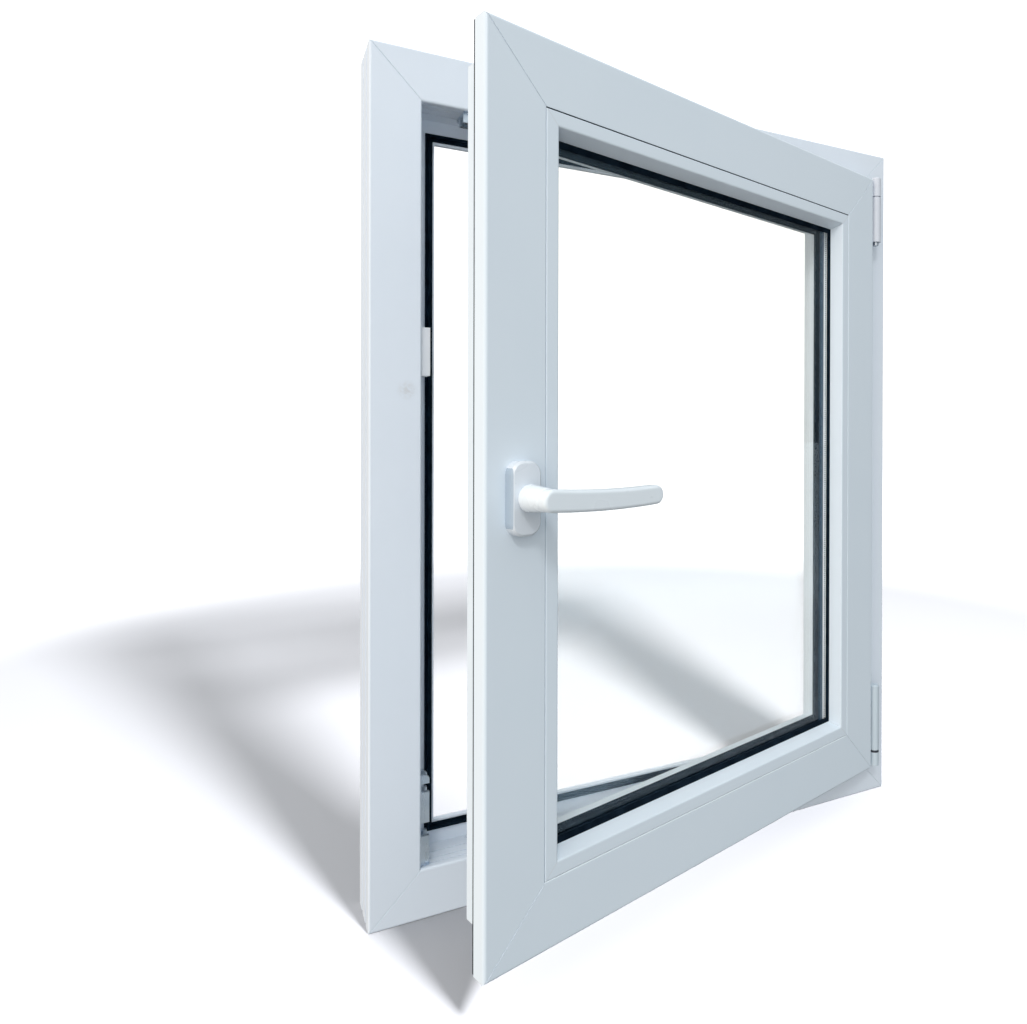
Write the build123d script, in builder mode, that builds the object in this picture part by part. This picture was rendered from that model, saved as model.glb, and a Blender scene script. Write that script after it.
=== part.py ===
from build123d import *
import os

os.makedirs("parts", exist_ok=True)

# A side-hung and bottom-hung window of plastic profile, seen from the room.
# Millimetres. X runs along the width, Z is up and the room is towards -Y.
# The origin is the middle of the frame's bottom face.
# Depths in the sections are counted from the frame's room-side face towards the weather.
# Insets are counted from the outer edge of the frame, or of the sash, towards its middle.

# Outer frame
frame_width = 700.0
frame_height = 900.0
frame_depth = 60.0
frame_lip = 52.0           # inset of the room-side face's inner edge
frame_floor = 50.5         # inset of the rebate floor, a little behind the lip
lip_depth = 4.0
frame_leg = 76.0           # inset of the outer leg that the sash closes against
leg_depth = 9.5
front_round = 2.2
outer_round = 5.0
leg_round = 1.2
rebate_grooves = (11.0, 19.5, 32.0)
rebate_groove = 1.4
clip_grooves = (17.0, 40.0)
clip_groove_wide = 5.0
clip_groove_deep = 2.0
weld_groove_half = 0.65    # shallow groove that is cut along each welded mitre
weld_groove_deep = 0.6
drain_length = 26.0
drain_width = 4.0
drain_deep = 6.0
drain_inside = 228.0       # middle of the window to a slot in the rebate
drain_outside = 160.0      # middle of the window to a slot in the weather face
drain_from_leg = 5.0
drain_level = 18.0

# Opening sash
sash_inset = 43.6          # frame edge to sash edge, all round
flange_front = -19.5       # room-side face of the sash, in front of the frame's
flange_thick = 16.5
body_inset = 19.5          # flange edge to the sash body behind it
body_back = 43.5           # weather face of the sash
profile_face = 62.2        # sash edge to the bead joint
upstand_glass = 84.4       # inset of the weather upstand at the glass
upstand_weather = 78.5     # and at the weather face, so that rain runs off
flange_round = 3.0
body_round = 2.0
upstand_round = 3.0
upstand_overlap = 1.0
joint_round = 1.0          # both sides of the bead joint
bead_round = 2.0
gear_groove_low = 5.0
gear_groove_high = 21.0
gear_groove_deep = 3.0

# Swing of the sash and turn of the lever. Zero closes and locks the window.
sash_open_angle = 15.11
lever_angle = 90.0
pin_beside_sash = 11.0
pin_front = 16.5

# Glazing: two panes with a gas-filled space between them
bead_joint = 0.4
bead_room = 76.0           # inset of the bead's inner edge on the room face
bead_glass = 81.9          # and beside the glass, where the bead slopes to
bead_back = -4.6
glass_front = -3.0
pane_thick = 4.0
cavity = 16.0
pane_edge = 65.0
spacer_edge = 69.5
spacer_sight = 77.6
outer_seal_thick = 2.5
bead_lip = 87.6
outer_lip = 85.2
outer_lip_round = 0.8
bead_lip_edge = 0.4
spacer_round = 0.6

# Black seals
seal_lip = 1.4
seal_ridge = 1.2
frame_seal_low = 65.6
frame_seal_high = 73.4
seal_base = 2.0
fin_reach = 6.0
fin_root = (67.2, 70.6)
fin_tip = (68.6, 70.2)
fin_sunk = 0.5
seal_foot = 2.6            # width and depth of the foot that is pressed into a groove
seal_foot_start = 0.7
seal_foot_play = 0.1
seal_groove = 3.0
ridge_wide = 2.0
notch_play = 1.0
notch_end = 4.0
sash_seal_low = 0.6
sash_seal_high = 7.6

# Handle
rosette_width = 30.5
rosette_height = 64.5
rosette_thick = 11.0
rosette_drop = 0.75
rosette_corner = 12.0
rosette_bevel = 2.0
handle_from_edge = 35.3
handle_height = 450.0
neck_root = 9.4
neck_swell = 12.0
neck_swell_reach = 4.4
neck_tip = 10.2
neck_sunk = 6.0
neck_sunk_taper = 4.0
neck_reach = 27.5
grip_length = 135.0
grip_high_root = 19.6
grip_high_tip = 17.6
grip_root_lift = 0.4
grip_tip_drop = 0.5
grip_thick = 12.0
grip_sag = 2.5
grip_edge = 3.4
grip_back_bevel = 1.6
grip_end_share = 0.48      # radius of the rounded ends as a share of the height

# Locking gear
plate_width = 15.0
plate_thick = 2.6
drive_leg = 110.0
drive_bend = 2.4
gear_play = 0.2
gear_gap = 0.4
top_gear_end = 4.0
cam_head = 4.6
cam_stem = 3.0
cam_height = 8.0
cam_head_thick = 2.5
cam_past_keep = 14.0

# Keeps on the frame's rebate floor: lower and upper end of each
keep_plate = 3.0
keep_height = 11.8
keep_plate_depths = (6.0, 36.0)
keep_depths = (8.0, 25.0)
cam_slot_depths = (12.5, 20.5)
cam_slot_floor = 1.0
lower_keep_gap = (128.0, 137.0)
keep_slant = 3.4
upper_keep_span = (565.0, 615.5)
lower_keep_span = (96.0, 146.0)
corner_keep_span = (51.0, 82.0)
head_keep_span = (-253.0, -207.0)

# Hinges
hinge_pin = 3.0
pin_play = 0.05
barrel_radius = 5.2
cap_radius = 6.6
cap_play = 0.15
leaf_thick = 2.0
leaf_gap = 0.6
frame_leaf = 15.0
cap_rise = 3.6
cap_top = 2.0
cap_bevel = 1.4
cap_slot = 1.6            # half width of the slot that the leaf leaves by
web = 1.0                  # half thickness of the plate between an eye and its leaf
web_sunk = 0.5
eye_drop = 2.4
seam_gap = 0.6
leaf_play = 0.2
leaf_short = 6.0
stay_seam = 833.8
stay_low = 771.0
stay_pin_drop = 4.5
corner_low = 45.0
corner_seam = 65.0
corner_high = 156.5
lower_pin_drop = 40.0
corner_leaf_depth = 18.0
stay_pin_head = 3.8
stay_pin_short = 2.6
stay_reach = 330.0
stay_leaf_high = 12.0
arm_rise = 1.2
arm_thick = 2.8
arm_front = 8.0
arm_back = 20.0
arm_elbow = (8.0, 6.0)
arm_overlap = 1.0
slider_radius = 3.5
slider_high = 5.0

sides = ("left", "right", "bottom", "top")
room_y = -frame_depth / 2
leg_front = frame_depth - leg_depth
flange_back = flange_front + flange_thick
sash_width = frame_width - 2 * sash_inset
sash_height = frame_height - 2 * sash_inset
sash_top = sash_inset + sash_height
pin_x = sash_width / 2 + pin_beside_sash
pin_y = room_y - pin_front
leaf_back = pin_front - leaf_gap
body_edge = -(pin_beside_sash + body_inset)
glass_back = glass_front + 2 * pane_thick + cavity
upstand_front = glass_back + outer_seal_thick
plate_middle = (gear_groove_low + gear_groove_high) / 2
gear_inset = body_inset + gear_play
handle_x = -sash_width / 2 + handle_from_edge
ring_reach = 100.0
cut_reach = 300.0


def edge_plane(side, width, height, foot):
    """Sketch plane on one outer edge: local x runs inwards, local y runs to the weather."""
    middle = foot + height / 2
    places = {
        "left": ((-width / 2, room_y, middle), (1, 0, 0), (0, 0, 1)),
        "right": ((width / 2, room_y, middle), (-1, 0, 0), (0, 0, -1)),
        "bottom": ((0, room_y, foot), (0, 0, 1), (-1, 0, 0)),
        "top": ((0, room_y, foot + height), (0, 0, -1), (1, 0, 0)),
    }
    origin, inwards, along = places[side]
    return Plane(origin=origin, x_dir=inwards, z_dir=along)


def upright(depth):
    """Sketch plane parallel to the window, facing the room."""
    return Plane.XZ.offset(-(room_y + depth))


def block(low_x, high_x, low_y, high_y, mode=Mode.ADD):
    """A rectangle of a sketch, given by its four limits."""
    with Locations(((low_x + high_x) / 2, (low_y + high_y) / 2)):
        Rectangle(high_x - low_x, high_y - low_y, mode=mode)


def soften(sketch, radius, *spots):
    """Rounds the corners of the sketch that lie at the given spots."""
    for spot in spots:
        fillet(sketch.vertices().sort_by_distance(Vector(*spot))[0], radius)


def mitred(draw_section, side, width, height, foot):
    """One length of a four-sided ring, cut at 45 degrees at both ends."""
    left = -width / 2
    right = width / 2
    top = foot + height
    outer = {
        "left": ((left, foot), (left, top)),
        "right": ((right, foot), (right, top)),
        "bottom": ((left, foot), (right, foot)),
        "top": ((left, top), (right, top)),
    }
    inner = {
        (left, foot): (left + ring_reach, foot + ring_reach),
        (left, top): (left + ring_reach, top - ring_reach),
        (right, foot): (right - ring_reach, foot + ring_reach),
        (right, top): (right - ring_reach, top - ring_reach),
    }
    start, end = outer[side]
    with BuildPart() as length:
        with BuildSketch(edge_plane(side, width, height, foot)):
            draw_section()
        extrude(amount=max(width, height), both=True)
        with BuildSketch(Plane.XZ):
            with BuildLine():
                Polyline(start, end, inner[end], inner[start], close=True)
            make_face()
        extrude(amount=cut_reach, both=True, mode=Mode.INTERSECT)
    return length.part


def welded(draw_section, side, width, height, foot, front):
    """A mitred length with the shallow groove that is cut along each weld on the room face."""
    with BuildPart() as length:
        add(mitred(draw_section, side, width, height, foot))
        with BuildSketch(upright(front)):
            for across in (-1, 1):
                for up in (0, 1):
                    corner = (across * (width - ring_reach) / 2, foot + up * height + (0.5 - up) * ring_reach)
                    slope = 45 if (across < 0) != (up > 0) else -45
                    with Locations(corner):
                        Rectangle(cut_reach, 2 * weld_groove_half, rotation=slope)
        extrude(amount=-weld_groove_deep, mode=Mode.SUBTRACT)
    return length.part


def ring(draw_section, width, height, foot):
    """All four lengths of one section joined into a closed ring."""
    with BuildPart() as loop:
        for side in sides:
            add(mitred(draw_section, side, width, height, foot))
    return loop.part


def swung(piece):
    """The piece turned with the sash about the hinge pins."""
    return piece.rotate(Axis((pin_x, pin_y, 0), (0, 0, 1)), sash_open_angle)


def save(piece, name):
    """Names the finished piece and writes its file."""
    piece.label = name
    export_step(piece, f"parts/{name}.step")


def outline(*corners):
    """A polygon of a sketch through the given corners."""
    return Polygon(*corners, align=None)


def seal_slot(start, low, high):
    """Cuts the groove for a seal's foot out of a section."""
    side = start + seal_foot_start
    block(side - seal_foot_play, side + seal_foot + seal_foot_play, low, high, mode=Mode.SUBTRACT)


def frame_section():
    """The fixed frame: a room-side block and the taller leg on the weather side."""
    with BuildSketch() as section:
        block(0, frame_lip, 0, lip_depth)
        block(0, frame_floor, 0, frame_depth)
        block(0, frame_leg, leg_front, frame_depth)
        for start in rebate_grooves:
            block(frame_floor - rebate_groove, frame_floor, start, start + rebate_groove, mode=Mode.SUBTRACT)
        seal_slot(frame_seal_low, leg_front, leg_front + seal_groove)
        for start in clip_grooves:
            block(0, clip_groove_deep, start, start + clip_groove_wide, mode=Mode.SUBTRACT)
        soften(section, front_round, (0, 0), (frame_lip, 0))
        soften(section, outer_round, (frame_leg, frame_depth))
        soften(section, leg_round, (frame_leg, leg_front))
    add(section.sketch)


def sash_section():
    """The sash: flange over the frame, body, glazing rebate and weather upstand."""
    with BuildSketch() as section:
        block(0, profile_face, flange_front, flange_back)
        block(body_inset, profile_face, flange_front, body_back)
        foot = profile_face - upstand_overlap
        outline((foot, upstand_front), (upstand_glass, upstand_front),
                (upstand_weather, body_back), (foot, body_back))
        groove_floor = body_inset + gear_groove_deep
        block(body_inset, groove_floor, gear_groove_low, gear_groove_high, mode=Mode.SUBTRACT)
        seal_slot(sash_seal_low, flange_back - seal_groove, flange_back)
        soften(section, flange_round, (0, flange_front))
        soften(section, joint_round, (profile_face, flange_front))
        soften(section, body_round, (body_inset, body_back))
        soften(section, upstand_round, (upstand_weather, body_back))
        soften(section, joint_round, (upstand_glass, upstand_front))
    add(section.sketch)


def bead_section():
    """A glazing bead: a flat room face, a rounded edge and a slope down to the glass."""
    start = profile_face + bead_joint
    with BuildSketch() as section:
        outline((start, flange_front), (bead_room, flange_front), (bead_glass, bead_back), (start, bead_back))
        soften(section, bead_round, (bead_room, flange_front))
        soften(section, joint_round, (start, flange_front))
    add(section.sketch)


def seal_foot_block(start, low, high):
    """The foot by which a seal is held in its groove."""
    side = start + seal_foot_start
    block(side, side + seal_foot, low, high)


def frame_seal_section():
    """Seal on the outer leg: a foot in the groove, a flat base and a fin towards the sash."""
    base = leg_front - seal_base
    tip = leg_front - fin_reach
    with BuildSketch() as section:
        seal_foot_block(frame_seal_low, base, leg_front + seal_foot)
        block(frame_seal_low, frame_seal_high, base, leg_front)
        outline((fin_root[0], base + fin_sunk), (fin_tip[0], tip),
                (fin_tip[1], tip), (fin_root[1], base + fin_sunk))
    add(section.sketch)


def sash_seal_section():
    """Seal behind the flange: a foot in the groove and two lips towards the frame."""
    with BuildSketch() as section:
        face = flange_back + seal_lip
        seal_foot_block(sash_seal_low, flange_back - seal_foot, flange_back)
        block(sash_seal_low, sash_seal_high, flange_back, face)
        block(sash_seal_low, sash_seal_low + ridge_wide, face, face + seal_ridge)
        block(sash_seal_high - ridge_wide, sash_seal_high, face, face + seal_ridge)
    add(section.sketch)


def bead_seal_section():
    """Soft black edge of the bead: it tapers along the room-side pane."""
    with BuildSketch() as section:
        outline((spacer_edge, bead_back), (bead_glass, bead_back), (bead_lip, glass_front - bead_lip_edge),
                (bead_lip, glass_front), (spacer_edge, glass_front))
    add(section.sketch)


def outer_glass_seal_section():
    """Seal between the weather-side pane and the upstand of the sash."""
    with BuildSketch() as section:
        block(spacer_edge, outer_lip, glass_back, upstand_front)
        soften(section, outer_lip_round, (outer_lip, upstand_front))
    add(section.sketch)


def spacer_section():
    """The bar that holds the two panes apart."""
    back = glass_front + pane_thick + cavity
    with BuildSketch() as section:
        block(spacer_edge, spacer_sight, glass_front + pane_thick, back)
        soften(section, spacer_round, (spacer_sight, glass_front + pane_thick), (spacer_sight, back))
    add(section.sketch)


def drained(sill):
    """The sill with its blind drain slots: two in the rebate and two in the weather face."""
    line = room_y + leg_front - drain_from_leg
    with BuildPart() as member:
        add(sill)
        with BuildSketch(Plane.XY.offset(frame_floor)):
            with Locations((-drain_inside, line), (drain_inside, line)):
                SlotOverall(drain_length, drain_width)
        extrude(amount=-drain_deep, mode=Mode.SUBTRACT)
        with BuildSketch(upright(frame_depth)):
            with Locations((-drain_outside, drain_level), (drain_outside, drain_level)):
                SlotOverall(drain_length, drain_width)
        extrude(amount=drain_deep, mode=Mode.SUBTRACT)
    return member.part


def make_frame():
    """The four welded members of the fixed frame and its seal."""
    names = {"left": "frame_left_jamb", "right": "frame_right_jamb", "top": "frame_head"}
    for side, name in names.items():
        save(welded(frame_section, side, frame_width, frame_height, 0, 0), name)
    sill = welded(frame_section, "bottom", frame_width, frame_height, 0, 0)
    save(drained(sill), "frame_sill")
    save(ring(frame_seal_section, frame_width, frame_height, 0), "frame_seal")


def make_sash():
    """The four welded members of the sash, the beads and the seals, all swung open."""
    names = {
        "left": "sash_left_stile",
        "right": "sash_right_stile",
        "bottom": "sash_bottom_rail",
        "top": "sash_top_rail",
    }
    for side in sides:
        stile = welded(sash_section, side, sash_width, sash_height, sash_inset, flange_front)
        save(swung(stile), names[side])
        save(swung(mitred(bead_section, side, sash_width, sash_height, sash_inset)), f"{side}_bead")
    save(swung(ring(bead_seal_section, sash_width, sash_height, sash_inset)), "bead_seal")
    save(swung(ring(outer_glass_seal_section, sash_width, sash_height, sash_inset)), "outer_glass_seal")
    save(swung(ring(spacer_section, sash_width, sash_height, sash_inset)), "spacer_bar")


def make_sash_seal():
    """The flange seal, let out where the hinge leaves pass it."""
    with BuildPart() as seal:
        add(ring(sash_seal_section, sash_width, sash_height, sash_inset))
        with BuildSketch(upright(flange_back - seal_groove)):
            right = sash_width / 2
            left = right - sash_seal_high - notch_play
            block(left, right, corner_low - notch_play, corner_high + notch_play)
            block(left, right, stay_low - notch_play, sash_top - notch_end)
        extrude(amount=-2 * seal_groove, mode=Mode.SUBTRACT)
    save(swung(seal.part), "sash_seal")


def pane(front):
    """One sheet of the sealed glass unit."""
    with BuildPart() as sheet:
        with BuildSketch(upright(front)):
            with Locations((0, sash_inset + sash_height / 2)):
                Rectangle(sash_width - 2 * pane_edge, sash_height - 2 * pane_edge)
        extrude(amount=-pane_thick)
    return sheet.part


def make_glass():
    """The two panes of the sealed unit."""
    save(swung(pane(glass_front)), "inner_pane")
    save(swung(pane(glass_front + pane_thick + cavity)), "outer_pane")


def make_rosette():
    """The cover on the stile that the lever turns in."""
    with BuildPart() as rosette:
        with BuildSketch(upright(flange_front)):
            with Locations((handle_x, handle_height - rosette_drop)):
                RectangleRounded(rosette_width, rosette_height, rosette_corner)
        extrude(amount=rosette_thick)
        chamfer(rosette.faces().sort_by(Axis.Y)[0].edges(), rosette_bevel)
    save(swung(rosette.part), "handle_rosette")


def make_lever():
    """The lever: a round neck that swells from the rosette and a flat-faced grip with a gentle sag."""
    root = room_y + flange_front - rosette_thick
    tip = root - neck_reach
    start = handle_x - grip_high_root / 2
    end = start + grip_length
    middle = (start + end) / 2
    root_level = handle_height + grip_root_lift
    tip_level = handle_height - grip_tip_drop
    sag_level = (root_level + tip_level) / 2 - grip_sag
    root_half = grip_high_root / 2
    tip_half = grip_high_tip / 2
    middle_half = (root_half + tip_half) / 2
    swell = (neck_swell, root - neck_swell_reach)
    axis_plane = Plane(origin=(handle_x, 0, handle_height), x_dir=(1, 0, 0), z_dir=(0, 0, 1))
    with BuildPart() as lever:
        with BuildSketch(Plane.XZ.offset(-tip)) as grip:
            with BuildLine():
                ThreePointArc((start, root_level + root_half), (middle, sag_level + middle_half),
                              (end, tip_level + tip_half))
                Line((end, tip_level + tip_half), (end, tip_level - tip_half))
                ThreePointArc((end, tip_level - tip_half), (middle, sag_level - middle_half),
                              (start, root_level - root_half))
                Line((start, root_level - root_half), (start, root_level + root_half))
            make_face()
            fillet(grip.vertices().group_by(Axis.X)[0], grip_end_share * grip_high_root)
            fillet(grip.vertices().group_by(Axis.X)[-1], grip_end_share * grip_high_tip)
        extrude(amount=grip_thick)
        fillet(lever.faces().sort_by(Axis.Y)[0].edges(), grip_edge)
        chamfer(lever.faces().sort_by(Axis.Y)[-1].edges(), grip_back_bevel)
        with BuildSketch(axis_plane):
            with BuildLine():
                Line((0, root), (neck_root, root))
                Line((neck_root, root), swell)
                Line(swell, (neck_tip, tip))
                Line((neck_tip, tip), (neck_tip - neck_sunk_taper, tip - neck_sunk))
                Line((neck_tip - neck_sunk_taper, tip - neck_sunk), (0, tip - neck_sunk))
                Line((0, tip - neck_sunk), (0, root))
            make_face()
        revolve(axis=Axis((handle_x, 0, handle_height), (0, 1, 0)))
    turn = Axis((handle_x, 0, handle_height), (0, 1, 0))
    save(swung(lever.part.rotate(turn, lever_angle - 90.0)), "handle_lever")


def gear_plate(side, start, end):
    """A straight run of faceplate in the sash's groove, between two places on that side."""
    section_plane = edge_plane(side, sash_width, sash_height, sash_inset)
    with BuildPart() as plate:
        with BuildSketch(section_plane):
            with Locations((gear_inset + plate_thick / 2, plate_middle)):
                Rectangle(plate_thick, plate_width)
        extrude(amount=end - start)
    along = section_plane.z_dir
    middle = sash_inset + sash_height / 2 if side == "left" else 0
    return plate.part.translate(along * (start - middle))


def corner_drive(upper):
    """Angle of faceplate that carries the rods round a corner of the sash."""
    level = sash_top - gear_inset if upper else sash_inset + gear_inset
    turn = -1 if upper else 1
    edge = -sash_width / 2 + gear_inset
    inner = level + turn * plate_thick
    far = level + turn * drive_leg
    front = upright(plate_middle + plate_width / 2)
    with BuildPart() as drive:
        with BuildSketch(front) as angle:
            with BuildLine():
                Polyline((edge, level), (edge + drive_leg, level), (edge + drive_leg, inner),
                         (edge + plate_thick, inner), (edge + plate_thick, far), (edge, far), close=True)
            make_face()
            soften(angle, drive_bend, (edge, level))
        extrude(amount=plate_width)
    return drive.part


def cam(foot_plane, along):
    """One mushroom-headed cam that stands on a faceplate."""
    with BuildPart() as mushroom:
        with BuildSketch(foot_plane):
            with Locations((along, plate_middle)):
                Circle(cam_stem)
        extrude(amount=cam_height)
        with BuildSketch(foot_plane.offset(cam_height - cam_head_thick)):
            with Locations((along, plate_middle)):
                Circle(cam_head)
        extrude(amount=cam_head_thick)
    return mushroom.part


def make_gear():
    """The locking gear let into the edge of the sash: faceplates, corner drives and cams."""
    edge = gear_inset + drive_leg
    low = sash_inset + edge + gear_gap
    high = sash_top - edge - gear_gap
    save(swung(gear_plate("left", low, high)), "side_gear")
    start = -sash_width / 2 + edge + gear_gap
    end = sash_width / 2 - body_inset - top_gear_end
    save(swung(gear_plate("top", start, end)), "top_gear")
    save(swung(corner_drive(True)), "top_corner_drive")
    save(swung(corner_drive(False)), "bottom_corner_drive")
    side_plane = Plane(origin=(-sash_width / 2 + gear_inset, room_y, 0), x_dir=(0, 0, 1), z_dir=(-1, 0, 0))
    top_plane = Plane(origin=(0, room_y, sash_top - gear_inset), x_dir=(1, 0, 0), z_dir=(0, 0, 1))
    with BuildPart() as cams:
        add(cam(side_plane, upper_keep_span[1] + cam_past_keep))
        add(cam(side_plane, lower_keep_span[1] + cam_past_keep))
        add(cam(top_plane, head_keep_span[1] + cam_past_keep))
    save(swung(cams.part), "locking_cams")


def keep(side, span, split=None):
    """Striker on the rebate floor: a plate and a block with a slot that the cam runs in."""
    low, high = span
    section_plane = edge_plane(side, frame_width, frame_height, 0)
    middle = frame_height / 2 if side == "left" else 0
    top = frame_floor + keep_height
    with BuildPart() as striker:
        with BuildSketch(section_plane):
            block(frame_floor, frame_floor + keep_plate, *keep_plate_depths)
        extrude(amount=high - low)
        with BuildSketch(section_plane):
            block(frame_floor, top, *keep_depths)
            block(frame_floor + keep_plate + cam_slot_floor, top, *cam_slot_depths, mode=Mode.SUBTRACT)
        extrude(amount=high - low)
        if split:
            with BuildSketch(section_plane.offset(split[0] - low)):
                block(frame_floor + keep_plate, top, *keep_depths)
            extrude(amount=split[1] - split[0], mode=Mode.SUBTRACT)
            end_edges = striker.edges().filter_by(Axis.Y).group_by(Axis.Z)[-1]
            chamfer(end_edges.group_by(Axis.X)[-1], keep_slant)
    return striker.part.translate(section_plane.z_dir * (low - middle))


def make_keeps():
    """The strikers seen in the gap between the frame and the open sash."""
    save(keep("left", upper_keep_span), "upper_keep")
    save(keep("left", lower_keep_span, lower_keep_gap), "lower_keep")
    save(keep("left", corner_keep_span), "corner_keep")
    save(keep("top", head_keep_span), "head_keep")


def level_plane(height):
    """Horizontal sketch plane with its origin on the hinge axis."""
    return Plane(origin=(pin_x, pin_y, height))


def sleeve_section():
    """The open ring of a hinge cap with the slot that the leaf leaves by."""
    Circle(cap_radius)
    Circle(barrel_radius + cap_play, mode=Mode.SUBTRACT)
    block(-cap_slot, cap_slot, 0, 2 * cap_radius, mode=Mode.SUBTRACT)


def cap(low, high):
    """A white plastic sleeve over a knuckle, closed and bevelled at the top."""
    with BuildPart() as sleeve:
        with BuildSketch(level_plane(low)):
            sleeve_section()
        extrude(amount=high - low - cap_top)
        with BuildSketch(level_plane(high - cap_top)):
            Circle(cap_radius)
        extrude(amount=cap_top)
        chamfer(sleeve.faces().sort_by(Axis.Z)[-1].edges(), cap_bevel)
    return sleeve.part


def knuckle(low, high):
    """The steel eye of a leaf, bored for the pin."""
    with BuildPart() as eye:
        with BuildSketch(level_plane(low)):
            Circle(barrel_radius)
            Circle(hinge_pin + pin_play, mode=Mode.SUBTRACT)
        extrude(amount=high - low)
    return eye.part


def frame_leaf_section():
    """The leaf of a bearing, flat against the room face of the frame, and its web."""
    block(-web, web, hinge_pin + web_sunk, pin_front)
    block(-frame_leaf, web, pin_front - leaf_thick, pin_front)


def sash_leaf_section():
    """The leaf of a sash hinge in the gap behind the flange, and its web."""
    block(-web, web, hinge_pin + web_sunk, leaf_back)
    block(body_edge + leaf_play, web, leaf_back - leaf_thick, leaf_back)


def make_stay():
    """Upper hinge: the stay arm in the top rebate and its bearing on the frame."""
    arm_level = sash_top - body_inset + arm_rise
    elbow = body_edge - arm_elbow[0]
    reach = body_edge - stay_reach
    low = stay_seam + leaf_play
    with BuildPart() as arm:
        add(knuckle(low, sash_top - eye_drop))
        with BuildSketch(level_plane(low)):
            sash_leaf_section()
        extrude(amount=stay_leaf_high)
        with BuildSketch(level_plane(arm_level)):
            block(elbow, body_edge + arm_elbow[1], leaf_back - leaf_thick, pin_front + arm_back)
            block(reach, elbow + arm_overlap, pin_front + arm_front, pin_front + arm_back)
            with Locations((reach, pin_front + (arm_front + arm_back) / 2)):
                Circle((arm_back - arm_front) / 2)
        extrude(amount=arm_thick)
        with BuildSketch(level_plane(arm_level + arm_thick / 2 - slider_high / 2)):
            with Locations((reach, pin_front + (arm_front + arm_back) / 2)):
                Circle(slider_radius)
        extrude(amount=slider_high)
    save(swung(arm.part), "stay_arm")
    save(swung(cap(low, sash_top + cap_rise)), "stay_arm_cap")

    with BuildPart() as bearing:
        add(knuckle(stay_low, stay_seam - eye_drop))
        with BuildSketch(level_plane(stay_low)):
            frame_leaf_section()
        extrude(amount=stay_seam - stay_low - leaf_short)
    save(bearing.part, "stay_bearing")
    save(cap(stay_low, stay_seam), "stay_bearing_cap")


def make_stay_pin():
    """The pin that is pushed up through the stay bearing, with its head below."""
    with BuildPart() as pin:
        with BuildSketch(level_plane(stay_low - stay_pin_drop)):
            Circle(stay_pin_head)
        extrude(amount=stay_pin_drop)
        with BuildSketch(level_plane(stay_low)):
            Circle(hinge_pin)
        extrude(amount=stay_seam - stay_pin_short - stay_low)
    save(pin.part, "stay_pin")


def make_corner_hinge():
    """Lower hinge: the bearing with its pin on the frame and the sash's part above it."""
    seam = corner_seam + seam_gap
    with BuildPart() as bearing:
        with BuildSketch(level_plane(corner_low)):
            Circle(barrel_radius)
            frame_leaf_section()
        extrude(amount=corner_seam - eye_drop - corner_low)
        with BuildSketch(level_plane(corner_low)):
            Circle(hinge_pin)
        extrude(amount=corner_high - lower_pin_drop - corner_low)
    save(bearing.part, "corner_bearing")
    with BuildPart() as bearing_cap:
        with BuildSketch(level_plane(corner_low)):
            sleeve_section()
        extrude(amount=corner_seam - corner_low)
    save(bearing_cap.part, "corner_bearing_cap")

    with BuildPart() as hinge:
        add(knuckle(seam, corner_high - eye_drop))
        with BuildSketch(level_plane(seam)):
            sash_leaf_section()
            edge = body_edge + leaf_play
            block(edge, edge + leaf_thick, leaf_back - leaf_thick, pin_front + corner_leaf_depth)
        extrude(amount=corner_high - seam - leaf_short)
    save(swung(hinge.part), "corner_hinge")
    save(swung(cap(seam, corner_high)), "corner_hinge_cap")


make_frame()
make_sash()
make_sash_seal()
make_glass()
make_rosette()
make_lever()
make_gear()
make_keeps()
make_stay()
make_stay_pin()
make_corner_hinge()
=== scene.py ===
"""The looks of a plastic window that stands open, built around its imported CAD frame.

Lengths are in metres, in the part's own frame: x runs from the lever side to the hinge side, y from the
room outwards, and z up from the bottom face of the fixed frame.
"""

import enum
import logging
import math
from dataclasses import dataclass

import bpy
import numpy as np
from mathutils import Matrix, Vector


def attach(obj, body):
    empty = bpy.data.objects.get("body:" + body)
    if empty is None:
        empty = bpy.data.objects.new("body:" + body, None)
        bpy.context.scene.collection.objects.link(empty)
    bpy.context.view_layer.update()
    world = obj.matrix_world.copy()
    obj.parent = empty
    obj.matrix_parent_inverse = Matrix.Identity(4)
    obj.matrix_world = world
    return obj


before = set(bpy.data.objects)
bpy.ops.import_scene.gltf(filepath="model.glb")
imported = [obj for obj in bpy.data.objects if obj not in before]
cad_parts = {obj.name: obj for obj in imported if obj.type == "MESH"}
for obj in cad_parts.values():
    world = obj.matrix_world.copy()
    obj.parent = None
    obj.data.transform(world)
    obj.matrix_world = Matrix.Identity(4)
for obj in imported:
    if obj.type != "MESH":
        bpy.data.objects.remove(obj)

Colour = tuple[float, float, float]
Point = tuple[float, float, float]
Span = tuple[float, float]
Tree = bpy.types.NodeTree
Socket = bpy.types.NodeSocket

LOG = logging.getLogger("window")
SWING = math.radians(15.11)  # how far the sash stands open
HINGE_AXIS = (0.3174, -0.0465)  # x and y of the upright axis that it turns about
FRAME_WIDTH = 0.700
FRAME_HEIGHT = 0.900
ROOM_FACE = -0.030  # y of the fixed frame's room face
SASH_INSET = 0.0436  # from the frame's outer edge to the sash's edge
HANDLE_X = -0.2711  # the handle's neck, with the sash closed
HANDLE_HEIGHT = 0.450
UNSTRETCHED = (1.0, 1.0, 1.0)


class Grain(enum.Enum):
    """Which way the fine drawing lines of an extruded length run."""

    UPRIGHT = "upright"
    LEVEL = "level"


class Ramp(enum.Enum):
    """How a mapped value moves between its two ends."""

    SOFT = "SMOOTHSTEP"
    EVEN = "LINEAR"


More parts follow.
